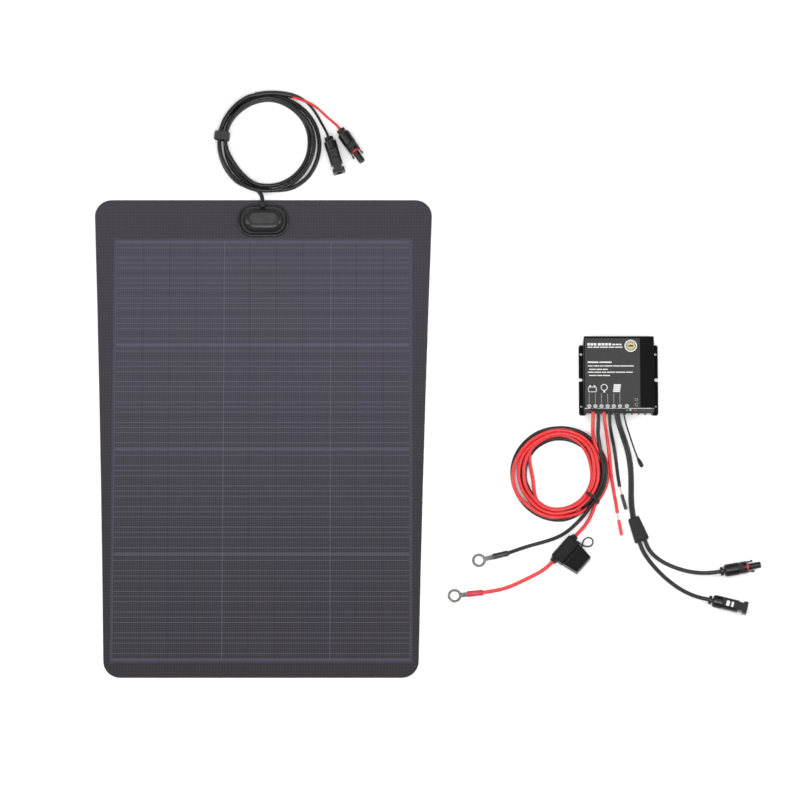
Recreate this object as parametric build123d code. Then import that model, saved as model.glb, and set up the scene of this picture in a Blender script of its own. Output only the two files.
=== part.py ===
from build123d import *
import os
from math import pi, radians, tan

# Semi-flexible solar panel kit, millimetres, +Z up.
# The origin is the centre of the panel's underside, which lies on the surface at Z = 0.
# The panel's lead comes off its +Y end; the charge controller lies beside it, toward +X.

# ---------------------------------------------------------------- driving dimensions
PANEL_HEIGHT = 729.0          # along Y
PANEL_TOP_WIDTH = 504.0       # at +Y
PANEL_BOTTOM_WIDTH = 461.0    # at -Y
PANEL_SIDE_HOLLOW = 1.8       # how far the long sides curve in
PANEL_CORNER = 25.0
BACK_BOARD_TOP = 1.6
POCKET_FLOOR = 1.8
FILM_TOP = 2.9

CELL_COLUMNS, CELL_ROWS = 11, 4
CELL_PITCH_X, CELL_PITCH_Y = 39.6, 159.6
CELL_WIDTH, CELL_HEIGHT = 39.0, 156.75
CELL_THICK = 0.3
BLOCK_CENTRE_Y = -19.0
RIBBONS_PER_CELL = 5
RIBBON_PITCH, RIBBON_WIDTH, RIBBON_THICK = 31.2, 1.4, 0.2

BOX_X, BOX_Y = 0.0, 332.0     # junction box centre
BOX_FLANGE = (77.0, 50.0, 22.0)   # width, depth, corner radius
BOX_DOME = (65.0, 39.0, 17.0)
BOX_FLANGE_TOP = 5.0
BOX_TOP = 17.0
BOX_WALL = 2.0
GLAND_RADIUS = 4.5
GLAND_Z = 9.6

PANEL_LEAD_R = 3.1
CORE_R = 1.9
BATTERY_LEAD_R = 2.75
LOAD_LEAD_R = 2.5
TWIN_R = 4.2
PV_LEAD_R = 3.0
SENSOR_R = 1.2

CONTROLLER_X0, CONTROLLER_X1 = 475.0, 579.0
CONTROLLER_Y0, CONTROLLER_Y1 = 34.0, 145.0
CONTROLLER_HEIGHT = 36.0
EAR_X0, EAR_X1 = 468.4, 585.6
EAR_Y0, EAR_Y1 = 32.6, 139.9
EAR_THICK = 2.5
UPPER_HOLE_R, LOWER_HOLE_R, HOLE_OFFSET = 2.1, 1.5, 55.3
UPPER_HOLE_Y, SLOT_Y, LOWER_HOLE_Y = 126.0, 86.8, 46.0
SLOT_WIDTH, SLOT_DEPTH = 5.6, 5.4
FIN_PITCH, FIN_THICK, FIN_TOP = 9.8, 2.0, 8.0
HEAT_SINK_TOP = 11.0
SCREW_R = 1.4
LEAD_EXIT_Z = 27.0

CONNECTOR_Z = 9.3             # connector axis above the surface
NUT_R = 9.25
NUT_BORE_R = 7.3
STUB_R = 7.0
COLLAR_R, COLLAR_LENGTH = 6.5, 5.0
PLUG_NUT_LENGTH, SOCKET_NUT_LENGTH = 27.0, 21.0
PLUG_LENGTH, SOCKET_LENGTH = 60.0, 58.0
PLUG_FRONT = 39.0             # where the plug's housing ends and its pin tube begins
PIN_TUBE_R, SOCKET_BORE_R = 4.75, 5.0
CORD_IN_NUT = 6.0             # how far a lead runs inside its nut

FUSE_X, FUSE_Y, FUSE_Z, FUSE_HEADING = 444.5, -172.0, 7.4, 228.9
RING_HOLE_R, RING_OUTER_R, RING_THICK = 6.5, 10.2, 1.3

# ---------------------------------------------------------------- lead routes, x y z
PANEL_TAIL = [(-1, 358, 9.6), (-1.6, 367.5, 9.3), (-6.6, 376.5, 8.5), (-14.8, 382.5, 7.6)]
LEAD_SLEEVE = [(-13, 527, 9.2), (4.5, 530, 9), (23.5, 530.4, 6.6), (42.3, 527.4, 4.2)]
RED_CORE = [
    (42, 525.4, 4.2), (49, 523, 5.6), (57, 519.8, 6.7), (66.5, 515.6, 6.8), (76, 510.6, 6.2),
    (84.8, 503.6, 4.6), (93, 495.2, 3.4), (101.8, 486.8, 5.6), (111.2, 477.6, 9.3),
    (117.8, 467.6, 9.3)]
BLACK_CORE = [
    (42.6, 529.4, 4.2), (50, 527, 3.2), (58, 522.6, 2.2), (65.2, 516.6, 1.95), (71.2, 509.8, 1.95),
    (77.4, 500.9, 1.95), (83.2, 490.6, 2.6), (88.8, 479, 5.6), (95.1, 466.4, 9.3),
    (98.5, 454.8, 9.3)]
BATTERY_RED_IN = [
    (488.5, 31, 27), (488.3, 19, 25.8), (488, 6.5, 20.5), (488.8, -5, 14), (493.2, -15.5, 9.5)]
BATTERY_BLACK_IN = [
    (496.5, 31, 27), (496.3, 20, 26), (495.7, 8.5, 22.6), (495.9, -2.5, 17.8), (498, -14, 13.6),
    (499.6, -25.5, 11)]
BATTERY_RED_OUT = [
    (490.6, -103.2, 3.3), (488.4, -112.6, 2.9), (484.2, -122.3, 2.8), (479, -131.6, 3.4),
    (473.4, -139.6, 5.2), (467.4, -146.1, 6.9), (461.5, -152.5, 7.4)]
BATTERY_BLACK_OUT = [
    (485.1, -105.7, 9), (479.6, -114.6, 7.6), (471.8, -124.2, 5.6), (461.9, -134.2, 3.8),
    (450.3, -144.4, 2.9), (437, -152.6, 2.75), (420, -158.9, 2.75), (401, -164.1, 2.75),
    (381, -170.2, 2.9), (362.5, -177.4, 3.6)]
BATTERY_RED_END = [
    (427.5, -191.5, 7.4), (421.4, -197.9, 6.6), (413.4, -203.9, 5), (402.4, -210, 3.6),
    (388, -217, 2.8), (370, -226, 2.75), (348, -233.6, 2.9), (325.5, -236.8, 3.6)]
LOAD_RED = [
    (504.5, 31, 27), (505.1, 20, 26), (506.9, 8.5, 21.6), (509, -3.5, 15), (511, -16.5, 8.6),
    (512.8, -31, 4.2), (514, -47, 2.6), (515.9, -65, 2.5), (519, -85, 2.5), (521.8, -101, 2.5),
    (523.8, -116.5, 2.5)]
LOAD_BLACK = [
    (512.5, 31, 27), (512.8, 20, 26), (513.8, 8.5, 21.6), (516.4, -3.5, 15), (519.4, -16.5, 8.6),
    (521.6, -30, 4.2), (523.4, -45, 2.6), (525.2, -61, 2.5), (527.6, -76.5, 2.5)]
TWIN_CABLE = [
    (523.5, 31, 27), (524.9, 19.5, 26), (528.8, 7, 21.8), (533.8, -6, 15.6), (538.8, -20, 9.6),
    (542.4, -36, 5.8), (544.3, -54, 4.4), (544.6, -74, 4.2), (544.2, -92, 4.3),
    (544.9, -108.5, 4.8), (547.1, -124.6, 5.5)]
PLUG_LEAD = [
    (563.9, -157.9, 5.5), (567.6, -168.4, 4.6), (574.3, -178.3, 3.6), (584.5, -187.2, 3),
    (598, -195, 3), (613.5, -201.2, 3), (628.5, -205.4, 3.6), (642.5, -207.8, 5.8),
    (655.5, -208.6, 8.2), (668.4, -207.6, 9.3), (680.2, -205.6, 9.3)]
SOCKET_LEAD = [
    (555.7, -160.9, 5.5), (559.2, -171.4, 4.6), (565.4, -182.6, 3.6), (574.5, -194.8, 3),
    (586.2, -208, 3), (599.8, -220.6, 3), (613.4, -230.8, 3.6), (626.2, -238.4, 5),
    (638.6, -244.2, 7.4), (650.9, -247.6, 9.3), (662.5, -250.4, 9.3)]
SENSOR_LEAD = [
    (533.5, 31, 27), (534.9, 22, 26.4), (537.6, 12, 23.4), (541.2, 2, 18), (545.2, -8.5, 11.6),
    (549.2, -19.5, 6), (553.4, -30.3, 3.2)]

# coils: centre x, y, inner and outer radius, height
PANEL_COIL = (9.2, 453.8, 61.0, 77.5, 12.4)
BATTERY_COIL = (439.3, -58.2, 50.0, 71.0, 14.0)
# bands round the coils: angle on the coil, width along it, wall
WRAP_BAND = (172.5, 15.0, 1.2)
TIE_BAND = (-37.0, 4.0, 1.0)

os.makedirs("parts", exist_ok=True)


# ---------------------------------------------------------------- small helpers
def save(node, *solids):
    """Write one named sub-part, as one solid or as a group of separate solids."""
    loose = [s for shape in solids for s in shape.solids()]
    export_step(loose[0] if len(loose) == 1 else Compound(children=loose), f"parts/{node}.step")


def slab(x0, x1, y0, y1, z0, z1):
    """A box given by its two corners."""
    return Pos((x0 + x1) / 2, (y0 + y1) / 2, (z0 + z1) / 2) * Box(x1 - x0, y1 - y0, z1 - z0)


def rod(radius, x0, x1):
    """A cylinder along X, about the axis, from x0 to x1."""
    return Pos(x0, 0, 0) * Rot(0, 90, 0) * Cylinder(
        radius, x1 - x0, align=(Align.CENTER, Align.CENTER, Align.MIN))


def post(radius, x, y, z0, z1):
    """An upright cylinder from z0 to z1."""
    return Pos(x, y, z0) * Cylinder(radius, z1 - z0, align=(Align.CENTER, Align.CENTER, Align.MIN))


def rounded_plate(width, depth, corner, z0, z1, taper=0.0):
    """An upright plate or dome with round corners, its sides leaning in by taper degrees."""
    return Pos(0, 0, z0) * extrude(RectangleRounded(width, depth, corner), z1 - z0, taper=taper)


def aimed(x, y, z, heading):
    """A placement at a point, with local X turned to a heading in degrees from +X."""
    return Pos(x, y, z) * Rot(0, 0, heading)


def cord(route, radius):
    """A round lead along straight runs joined by arcs as large as the runs allow."""
    points = [Vector(*p) for p in route]
    radii = []
    for before, here, after in zip(points, points[1:], points[2:]):
        turn = radians((here - before).get_angle(after - here))
        shorter = min((here - before).length, (after - here).length)
        radii.append(0.45 * shorter / tan(turn / 2))
    path = FilletPolyline(*points, radius=radii)
    solid = sweep(Plane(origin=path @ 0, z_dir=path % 0) * Circle(radius), path=path)
    expected = pi * radius ** 2 * path.length
    print("radii", [round(r) for r in radii], "length", round(path.length, 1),
          "volume ratio", round(solid.volume / expected, 4))
    return solid


def coil(shape, band):
    """The plain outer shape of a tied coil, notched where its band passes round it."""
    x, y, inner, outer, height = shape
    ring = post(outer, x, y, 0, height) - post(inner, x, y, -1, height + 1)
    return ring - band


def coil_band(shape, band):
    """The strap or tie that holds a coil: a flat loop round the section of the coil."""
    x, y, inner, outer, height = shape
    angle, width, wall = band
    loop = slab(inner - wall, outer + wall, -width / 2, width / 2, 0, height + wall)
    loop -= slab(inner, outer, -width, width, wall, height)
    return Pos(x, y, 0) * Rot(0, 0, angle) * loop


# ---------------------------------------------------------------- solar panel
def panel_outline(z0, z1):
    """The tapered panel outline, its long sides slightly hollow, between two heights."""
    top, bottom, half = PANEL_TOP_WIDTH / 2, PANEL_BOTTOM_WIDTH / 2, PANEL_HEIGHT / 2
    waist = (top + bottom) / 2 - PANEL_SIDE_HOLLOW
    edges = [
        Line((-bottom, -half), (bottom, -half)),
        ThreePointArc((bottom, -half), (waist, 0), (top, half)),
        Line((top, half), (-top, half)),
        ThreePointArc((-top, half), (-waist, 0), (-bottom, -half))]
    face = make_face(edges)
    face = fillet(face.vertices(), PANEL_CORNER)
    return Pos(0, 0, z0) * extrude(face, z1 - z0)


def cell_centres():
    """Column and row centres of the quarter-cut cells."""
    for row in range(CELL_ROWS):
        for column in range(CELL_COLUMNS):
            yield ((column - (CELL_COLUMNS - 1) / 2) * CELL_PITCH_X,
                   BLOCK_CENTRE_Y + (row - (CELL_ROWS - 1) / 2) * CELL_PITCH_Y)


def panel():
    save("panel_back_board", panel_outline(0, BACK_BOARD_TOP))

    half_x = CELL_COLUMNS * CELL_PITCH_X / 2 + 4
    half_y = CELL_ROWS * CELL_PITCH_Y / 2
    pocket_top = POCKET_FLOOR + CELL_THICK + RIBBON_THICK
    pocket = slab(-half_x, half_x, BLOCK_CENTRE_Y - half_y, BLOCK_CENTRE_Y + half_y,
                  POCKET_FLOOR, pocket_top)
    save("panel_front_film", panel_outline(BACK_BOARD_TOP, FILM_TOP) - pocket)

    cell = Box(CELL_WIDTH, CELL_HEIGHT, CELL_THICK)
    save("solar_cells", *[Pos(x, y, POCKET_FLOOR + CELL_THICK / 2) * cell for x, y in cell_centres()])

    ribbon_half = CELL_COLUMNS * CELL_PITCH_X / 2 + 1
    ribbon_z = POCKET_FLOOR + CELL_THICK + RIBBON_THICK / 2
    ribbon = Box(2 * ribbon_half, RIBBON_WIDTH, RIBBON_THICK)
    ribbons = []
    for row in range(CELL_ROWS):
        row_y = BLOCK_CENTRE_Y + (row - (CELL_ROWS - 1) / 2) * CELL_PITCH_Y
        for k in range(RIBBONS_PER_CELL):
            ribbons.append(
                Pos(0, row_y + (k - (RIBBONS_PER_CELL - 1) / 2) * RIBBON_PITCH, ribbon_z) * ribbon)
    save("cell_ribbons", *ribbons)


# ---------------------------------------------------------------- junction box
def junction_box():
    place = Pos(BOX_X, BOX_Y, 0)
    width, depth, corner = BOX_FLANGE
    dome_w, dome_d, dome_r = BOX_DOME
    gasket_top = BOX_FLANGE_TOP + 0.8
    inner_w, inner_d, inner_r = dome_w - 12, dome_d - 10, dome_r - 5

    base = rounded_plate(width, depth, corner, FILM_TOP, BOX_FLANGE_TOP)
    base += rounded_plate(inner_w, inner_d, inner_r, BOX_FLANGE_TOP, gasket_top + 1.2)
    base -= rounded_plate(inner_w - 3, inner_d - 3, inner_r - 1.5, BOX_FLANGE_TOP - 0.9, gasket_top + 2)
    save("junction_box_base", place * base)

    gasket = rounded_plate(dome_w, dome_d, dome_r, BOX_FLANGE_TOP, gasket_top)
    gasket -= rounded_plate(inner_w, inner_d, inner_r, BOX_FLANGE_TOP - 1, gasket_top + 1)
    save("junction_box_gasket", place * gasket)

    lean = 22.0
    cover = rounded_plate(dome_w, dome_d, dome_r, gasket_top, BOX_TOP, lean)
    cover = fillet(cover.faces().sort_by(Axis.Z)[-1].edges(), 1.6)
    room = rounded_plate(dome_w - 8, dome_d - 8, dome_r - 4, gasket_top, BOX_TOP - BOX_WALL, lean)
    cover -= room
    lead_hole = Pos(-1, dome_d / 2 - 8, GLAND_Z) * Rot(-90, 0, 0) * Cylinder(
        GLAND_RADIUS - 1.2, 12, align=(Align.CENTER, Align.CENTER, Align.MIN))
    cover -= lead_hole
    save("junction_box_cover", place * cover)

    # two lead clips with the bypass diode bridged between them
    pieces = [slab(x - 4, x + 4, -5, 5, BOX_FLANGE_TOP - 0.9, BOX_FLANGE_TOP + 0.3) for x in (-13, 13)]
    pieces += [slab(-8.5, 8.5, -1.2, 1.2, BOX_FLANGE_TOP + 0.3, BOX_FLANGE_TOP + 2.4)]
    save("junction_box_terminals", *[place * p for p in pieces])

    # the collar stands on the box wall, outside, and the lead runs into its bore
    start_y = BOX_Y + dome_d / 2 - 0.4
    gland = Pos(-1, start_y, GLAND_Z) * Rot(-90, 0, 0) * (
        Cylinder(GLAND_RADIUS, 358 - start_y, align=(Align.CENTER, Align.CENTER, Align.MIN)))
    gland -= place * rounded_plate(dome_w, dome_d, dome_r, FILM_TOP, gasket_top)
    save("junction_box_gland", gland - place * cover - place * room)


# ---------------------------------------------------------------- photovoltaic connectors
def gland_nut(length, cord_r):
    """Screwed nut with a notched collar; free to turn on the connector's stub."""
    nut = rod(COLLAR_R, 0, COLLAR_LENGTH + 1) + rod(NUT_R, COLLAR_LENGTH + 1, length)
    nut = chamfer(nut.edges().filter_by(GeomType.CIRCLE).sort_by(Axis.X)[-1], 0.6)
    taper = Pos(COLLAR_LENGTH, 0, 0) * Rot(0, 90, 0) * Cone(
        COLLAR_R, NUT_R, 3, align=(Align.CENTER, Align.CENTER, Align.MIN))
    nut = (nut - (rod(NUT_R + 1, COLLAR_LENGTH, COLLAR_LENGTH + 3) - rod(COLLAR_R, 0, 20))) + taper
    groove = Pos((COLLAR_LENGTH + length) / 2 + 2, 0, NUT_R) * Box(length - COLLAR_LENGTH - 6, 1.2, 1.4)
    notch = Pos(0.6, 0, COLLAR_R) * Box(3, 3, 2.4)
    for k in range(14):
        nut -= Rot(360 / 14 * k, 0, 0) * groove
    for k in range(4):
        nut -= Rot(90 * k + 45, 0, 0) * notch
    nut -= rod(cord_r + 0.5, -1, length)
    return nut - rod(NUT_BORE_R, 4, length + 1)


def plug_body():
    """Stub, housing, pin tube and two flexing latch arms, moulded in one."""
    start = PLUG_NUT_LENGTH + 0.3
    front = PLUG_FRONT
    body = rod(STUB_R, 13, start + 1)
    body += (Pos((start + front) / 2, 0, 0) * Box(front - start, 17, 15)) & rod(9.2, start, front)
    body -= rod(NUT_R + 1, start + 1.4, start + 2.4) - rod(7.6, start, front)
    body -= Pos(front - 2, 0, 0) * Box(6, 8.6, 20) - rod(6.4, front - 10, front + 4)
    body += rod(PIN_TUBE_R, front - 6, PLUG_LENGTH)
    for side in (-1, 1):
        body += slab(front - 1, front + 10, min(side * 6.7, side * 8), max(side * 6.7, side * 8), -2.5, 2.5)
        body += slab(front + 7, front + 10, min(side * 7.5, side * 9), max(side * 7.5, side * 9), -2.5, 2.5)
    return body - rod(3.3, 12, PLUG_LENGTH + 1)


def socket_body():
    """Stub, windowed housing, neck and T-shaped end, moulded in one."""
    start = SOCKET_NUT_LENGTH + 0.3
    shoulder, tee = 44.3, 51.5
    body = rod(STUB_R, 12, start + 1)
    body += (Pos((start + shoulder) / 2, 0, 0) * Box(shoulder - start, 17.6, 15)) & rod(
        9.2, start, shoulder)
    body += Pos((shoulder + tee) / 2, 0, 0) * Box(tee - shoulder + 1, 12.4, 12.4)
    end = Pos((tee + SOCKET_LENGTH) / 2, 0, 0) * Box(SOCKET_LENGTH - tee, 18, 13)
    body += fillet(end.edges().filter_by(Axis.X), 1.5)
    for x0, x1 in ((26, 31.5), (33.5, 37.5)):
        for side in (-1, 1):
            body -= slab(x0, x1, -4.4, 4.4, min(side * 5.4, side * 9), max(side * 5.4, side * 9))
    body -= rod(3.3, 11, 40)
    body -= rod(SOCKET_BORE_R + 0.4, 38, SOCKET_LENGTH - 8)
    return body - rod(SOCKET_BORE_R, SOCKET_LENGTH - 8, SOCKET_LENGTH + 1)


def connector_seal():
    """The cable seal squeezed between nut and stub."""
    return rod(6.2, CORD_IN_NUT, 11.8) - rod(1.7, 0, 20)


def connectors(owner, plug_at, socket_at, cord_r):
    """The plug and socket pair on one unit's leads."""
    plug, socket = aimed(*plug_at), aimed(*socket_at)
    save(f"{owner}_plug_nut", plug * gland_nut(PLUG_NUT_LENGTH, cord_r))
    save(f"{owner}_plug_body", plug * plug_body())
    save(f"{owner}_socket_nut", socket * gland_nut(SOCKET_NUT_LENGTH, cord_r))
    save(f"{owner}_socket_body", socket * socket_body())
    wire = rod(1.6, CORD_IN_NUT, 13)
    sleeve_contact = wire + rod(3.2, 12.6, 58) - rod(2.0, 44, 60)
    pin_contact = wire + rod(3.2, 12.6, 38) + rod(1.8, 37, 47)
    save(f"{owner}_connector_contacts", plug * sleeve_contact, socket * pin_contact)
    ring = rod(5.8, PLUG_FRONT + 0.3, PLUG_FRONT + 2.6) - rod(PIN_TUBE_R, 36, 50)
    save(f"{owner}_connector_seals", plug * connector_seal(), plug * ring, socket * connector_seal())


def panel_lead():
    save("panel_lead_tail", cord(PANEL_TAIL, PANEL_LEAD_R))
    wrap = coil_band(PANEL_COIL, WRAP_BAND)
    save("panel_lead_wrap", wrap)
    save("panel_lead_coil", coil(PANEL_COIL, wrap))
    save("panel_lead_sleeve", cord(LEAD_SLEEVE, 4.0))
    save("panel_red_core", cord(RED_CORE, CORE_R))
    save("panel_black_core", cord(BLACK_CORE, CORE_R))
    connectors("panel", (114.5, 472.6, CONNECTOR_Z, -56.7), (96.8, 460.6, CONNECTOR_Z, -73.5), CORE_R)


# ---------------------------------------------------------------- charge controller
def screw_places():
    """The four corner bosses that the cover screws run into."""
    inset_x, inset_y = 7.0, 6.0
    return [(x, y) for x in (CONTROLLER_X0 + inset_x, CONTROLLER_X1 - inset_x)
            for y in (CONTROLLER_Y0 + inset_y, CONTROLLER_Y1 - inset_y)]


def heat_sink():
    """Finned base with its side ears: two bolt holes and an open slot on each side."""
    x0, x1, y0, y1 = CONTROLLER_X0, CONTROLLER_X1, CONTROLLER_Y0, CONTROLLER_Y1
    centre = (x0 + x1) / 2
    sink = slab(x0, x1, y0, y1, FIN_TOP, HEAT_SINK_TOP)
    for k in range(-5, 6):
        x = centre + k * FIN_PITCH
        sink += slab(x - FIN_THICK / 2, x + FIN_THICK / 2, y0, y1, 0, FIN_TOP)
    for ear_x0, ear_x1 in ((EAR_X0, x0 + 2), (x1 - 2, EAR_X1)):
        ear = slab(ear_x0, ear_x1, EAR_Y0, EAR_Y1, 0, EAR_THICK)
        outer_x = EAR_X0 if ear_x0 == EAR_X0 else EAR_X1
        corners = [e for e in ear.edges().filter_by(Axis.Z) if abs(e.center().X - outer_x) < 0.1]
        sink += fillet(corners, 3.5)
    for side in (-1, 1):
        hole_x = centre + side * HOLE_OFFSET
        sink += slab(*sorted((centre + side * 50, centre + side * 52)), y0, y1, 0, FIN_TOP)
        sink -= post(UPPER_HOLE_R, hole_x, UPPER_HOLE_Y, -1, EAR_THICK + 1)
        sink -= post(LOWER_HOLE_R, hole_x, LOWER_HOLE_Y, -1, EAR_THICK + 1)
        edge_x = EAR_X0 if side < 0 else EAR_X1
        slot = slab(*sorted((edge_x + side, edge_x - side * (SLOT_DEPTH - SLOT_WIDTH / 2))),
                    SLOT_Y - SLOT_WIDTH / 2, SLOT_Y + SLOT_WIDTH / 2, -1, EAR_THICK + 1)
        sink -= slot
        sink -= post(SLOT_WIDTH / 2, edge_x - side * (SLOT_DEPTH - SLOT_WIDTH / 2), SLOT_Y,
                     -1, EAR_THICK + 1)
    for x, y in screw_places():
        sink -= post(SCREW_R + 0.1, x, y, FIN_TOP - 1, HEAT_SINK_TOP + 1)
    return sink


def controller():
    x0, x1, y0, y1 = CONTROLLER_X0, CONTROLLER_X1, CONTROLLER_Y0, CONTROLLER_Y1
    wall = 2.4
    case_top, gasket_top = 32.6, 33.2
    save("controller_heat_sink", heat_sink())

    case = slab(x0, x1, y0, y1, HEAT_SINK_TOP, case_top)
    case = fillet(case.edges().filter_by(Axis.Z), 2.0)
    case -= slab(x0 + wall, x1 - wall, y0 + wall, y1 - wall, HEAT_SINK_TOP - 1, case_top + 1)
    bosses = screw_places()
    for x, y in bosses:
        case += post(3.6, x, y, HEAT_SINK_TOP, case_top)
        case -= post(SCREW_R + 0.1, x, y, HEAT_SINK_TOP - 1, 24)
    grommet_x0, grommet_x1, grommet_z0, grommet_z1 = 484.0, 536.3, 21.0, 32.0
    case -= slab(grommet_x0, grommet_x1, y0 - 1, y0 + wall + 1, grommet_z0, grommet_z1)
    save("controller_case", case)

    gasket = slab(x0 + 0.8, x1 - 0.8, y0 + 0.8, y1 - 0.8, case_top, gasket_top)
    gasket -= slab(x0 + wall, x1 - wall, y0 + wall, y1 - wall, case_top - 1, gasket_top + 1)
    save("controller_gasket", gasket)

    cover = slab(x0, x1, y0, y1, gasket_top, CONTROLLER_HEIGHT)
    cover = fillet(cover.edges().filter_by(Axis.Z), 2.0)
    cover = chamfer(cover.faces().sort_by(Axis.Z)[-1].edges(), 0.9)
    save("controller_cover", cover)

    # case and heat sink are drawn together by four pan-head screws from below
    save("controller_screws", *[
        post(2.4, x, y, FIN_TOP - 1.6, FIN_TOP) + post(SCREW_R, x, y, FIN_TOP - 0.5, 22) for x, y in bosses])

    board_z = 15.0
    board = slab(x0 + 4, x1 - 4, y0 + 11, y1 - 11, board_z, board_z + 1.6)
    for x in (x0 + 14, x1 - 14):
        for y in (y0 + 18, y1 - 18):
            board += post(2.2, x, y, HEAT_SINK_TOP, board_z)
    save("controller_board", board)
    top = board_z + 1.6
    toroid = Pos(x0 + 32, y1 - 36, top + 6.2) * Torus(8.6, 4.6)
    toroid += post(9.0, x0 + 32, y1 - 36, top, top + 2.2)
    save("controller_inductor", toroid)
    capacitors = [post(5, x0 + 60 + 12 * k, y1 - 30, top, top + 13) for k in range(3)]
    transistors = [slab(x0 + 22 + 16 * k, x0 + 32 + 16 * k, y0 + 24, y0 + 39, top, top + 4.5)
                   for k in range(4)]
    save("controller_power_parts", *capacitors, *transistors)

    label_top = CONTROLLER_HEIGHT + 0.25
    save("controller_label", slab(x0 + 1.6, x0 + 83.1, y0 + 1.6, y1 - 3.4, CONTROLLER_HEIGHT, label_top))

    led_z = 29.5
    save("status_leds", *[
        Pos(x, y0, led_z) * Rot(90, 0, 0) * Cylinder(
            1.4, 1.0, align=(Align.CENTER, Align.CENTER, Align.MIN)) for x in (538.4, 543.6, 551)])

    grommet = slab(grommet_x0, grommet_x1, 32.2, y0 + wall, grommet_z0, grommet_z1)
    for x, r in zip((488.5, 496.5, 504.5, 512.5, 523.5, 533.5), (3.7, 3.7, 3.4, 3.4, 4.8, 2.3)):
        grommet += Pos(x, 31, LEAD_EXIT_Z) * Rot(-90, 0, 0) * Cylinder(
            r, 3, align=(Align.CENTER, Align.CENTER, Align.MIN))
    save("cable_grommet", grommet)


# ---------------------------------------------------------------- controller leads
def ring_terminal(centre_x):
    """Crimp barrel, tongue and ring, stamped from one sheet."""
    low = 0.75 - 3.6
    plate = Pos(centre_x, 0, low) * Cylinder(
        RING_OUTER_R, RING_THICK, align=(Align.CENTER, Align.CENTER, Align.MIN))
    plate += slab(22, centre_x - 4, -3.4, 3.4, low, low + RING_THICK)
    plate += rod(2.85, 1, 25)
    return plate - Pos(centre_x, 0, low - 1) * Cylinder(
        RING_HOLE_R, RING_THICK + 2, align=(Align.CENTER, Align.CENTER, Align.MIN))


def battery_leads():
    save("battery_red_lead", cord(BATTERY_RED_IN, BATTERY_LEAD_R), cord(BATTERY_RED_OUT, BATTERY_LEAD_R))
    save("battery_black_lead", cord(BATTERY_BLACK_IN, BATTERY_LEAD_R),
         cord(BATTERY_BLACK_OUT, BATTERY_LEAD_R))
    save("battery_red_end_lead", cord(BATTERY_RED_END, BATTERY_LEAD_R))
    tie = coil_band(BATTERY_COIL, TIE_BAND)
    save("battery_coil_tie", tie)
    save("battery_coil", coil(BATTERY_COIL, tie))

    black_end, red_end = aimed(362.5, -177.4, 3.6, 193.5), aimed(325.5, -236.8, 3.6, 186)
    save("ring_terminals", black_end * ring_terminal(44), red_end * ring_terminal(42))
    sleeve = rod(3.5, 0, 22) - rod(2.85, 1, 30)
    save("terminal_sleeves", black_end * sleeve, red_end * sleeve)


def load_leads():
    save("load_red_lead", cord(LOAD_RED, LOAD_LEAD_R))
    save("load_black_lead", cord(LOAD_BLACK, LOAD_LEAD_R))
    red, black = aimed(523.8, -116.5, LOAD_LEAD_R, -80), aimed(527.6, -76.5, LOAD_LEAD_R, -76)
    black_slug = aimed(530.5, -88.4, LOAD_LEAD_R, -75)
    save("load_bare_ends", red * rod(1.1, 0, 11), black * rod(1.1, 0, 12.2))
    save("load_insulation_slugs", red * rod(LOAD_LEAD_R, 11, 34), black_slug * rod(LOAD_LEAD_R, 0.3, 23))


def photovoltaic_input():
    save("pv_twin_cable", cord(TWIN_CABLE, TWIN_R))
    block = Polyline((0, -8.25), (37, -11), (37, 11), (0, 8.25), close=True)
    block = Pos(0, 0, -5) * extrude(make_face(block), 10)
    block = fillet(block.edges().filter_by(Axis.Z), 2.0)
    block = fillet(block.faces().sort_by(Axis.Z)[-1].edges() + block.faces().sort_by(Axis.Z)[0].edges(), 1.5)
    save("splitter_block", aimed(547.1, -124.6, 5.5, -70) * block)
    save("splitter_lead_plug", cord(PLUG_LEAD, PV_LEAD_R))
    save("splitter_lead_socket", cord(SOCKET_LEAD, PV_LEAD_R))
    connectors("controller", (674.3, -206.6, CONNECTOR_Z, 9.9), (656.7, -249.0, CONNECTOR_Z, -13.7),
               PV_LEAD_R)


def temperature_sensor():
    save("sensor_lead", cord(SENSOR_LEAD, SENSOR_R))
    bead = Pos(1.5, 0, 0) * Rot(0, 90, 0) * Cone(1.3, 3.0, 8, align=(Align.CENTER, Align.CENTER, Align.MIN))
    bead += rod(1.3, 0, 2) + rod(3.0, 9.5, 15.5) + Pos(15.5, 0, 0) * Sphere(3.0)
    save("sensor_bead", aimed(553.4, -30.3, 3.2, -64.4) * bead)


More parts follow.
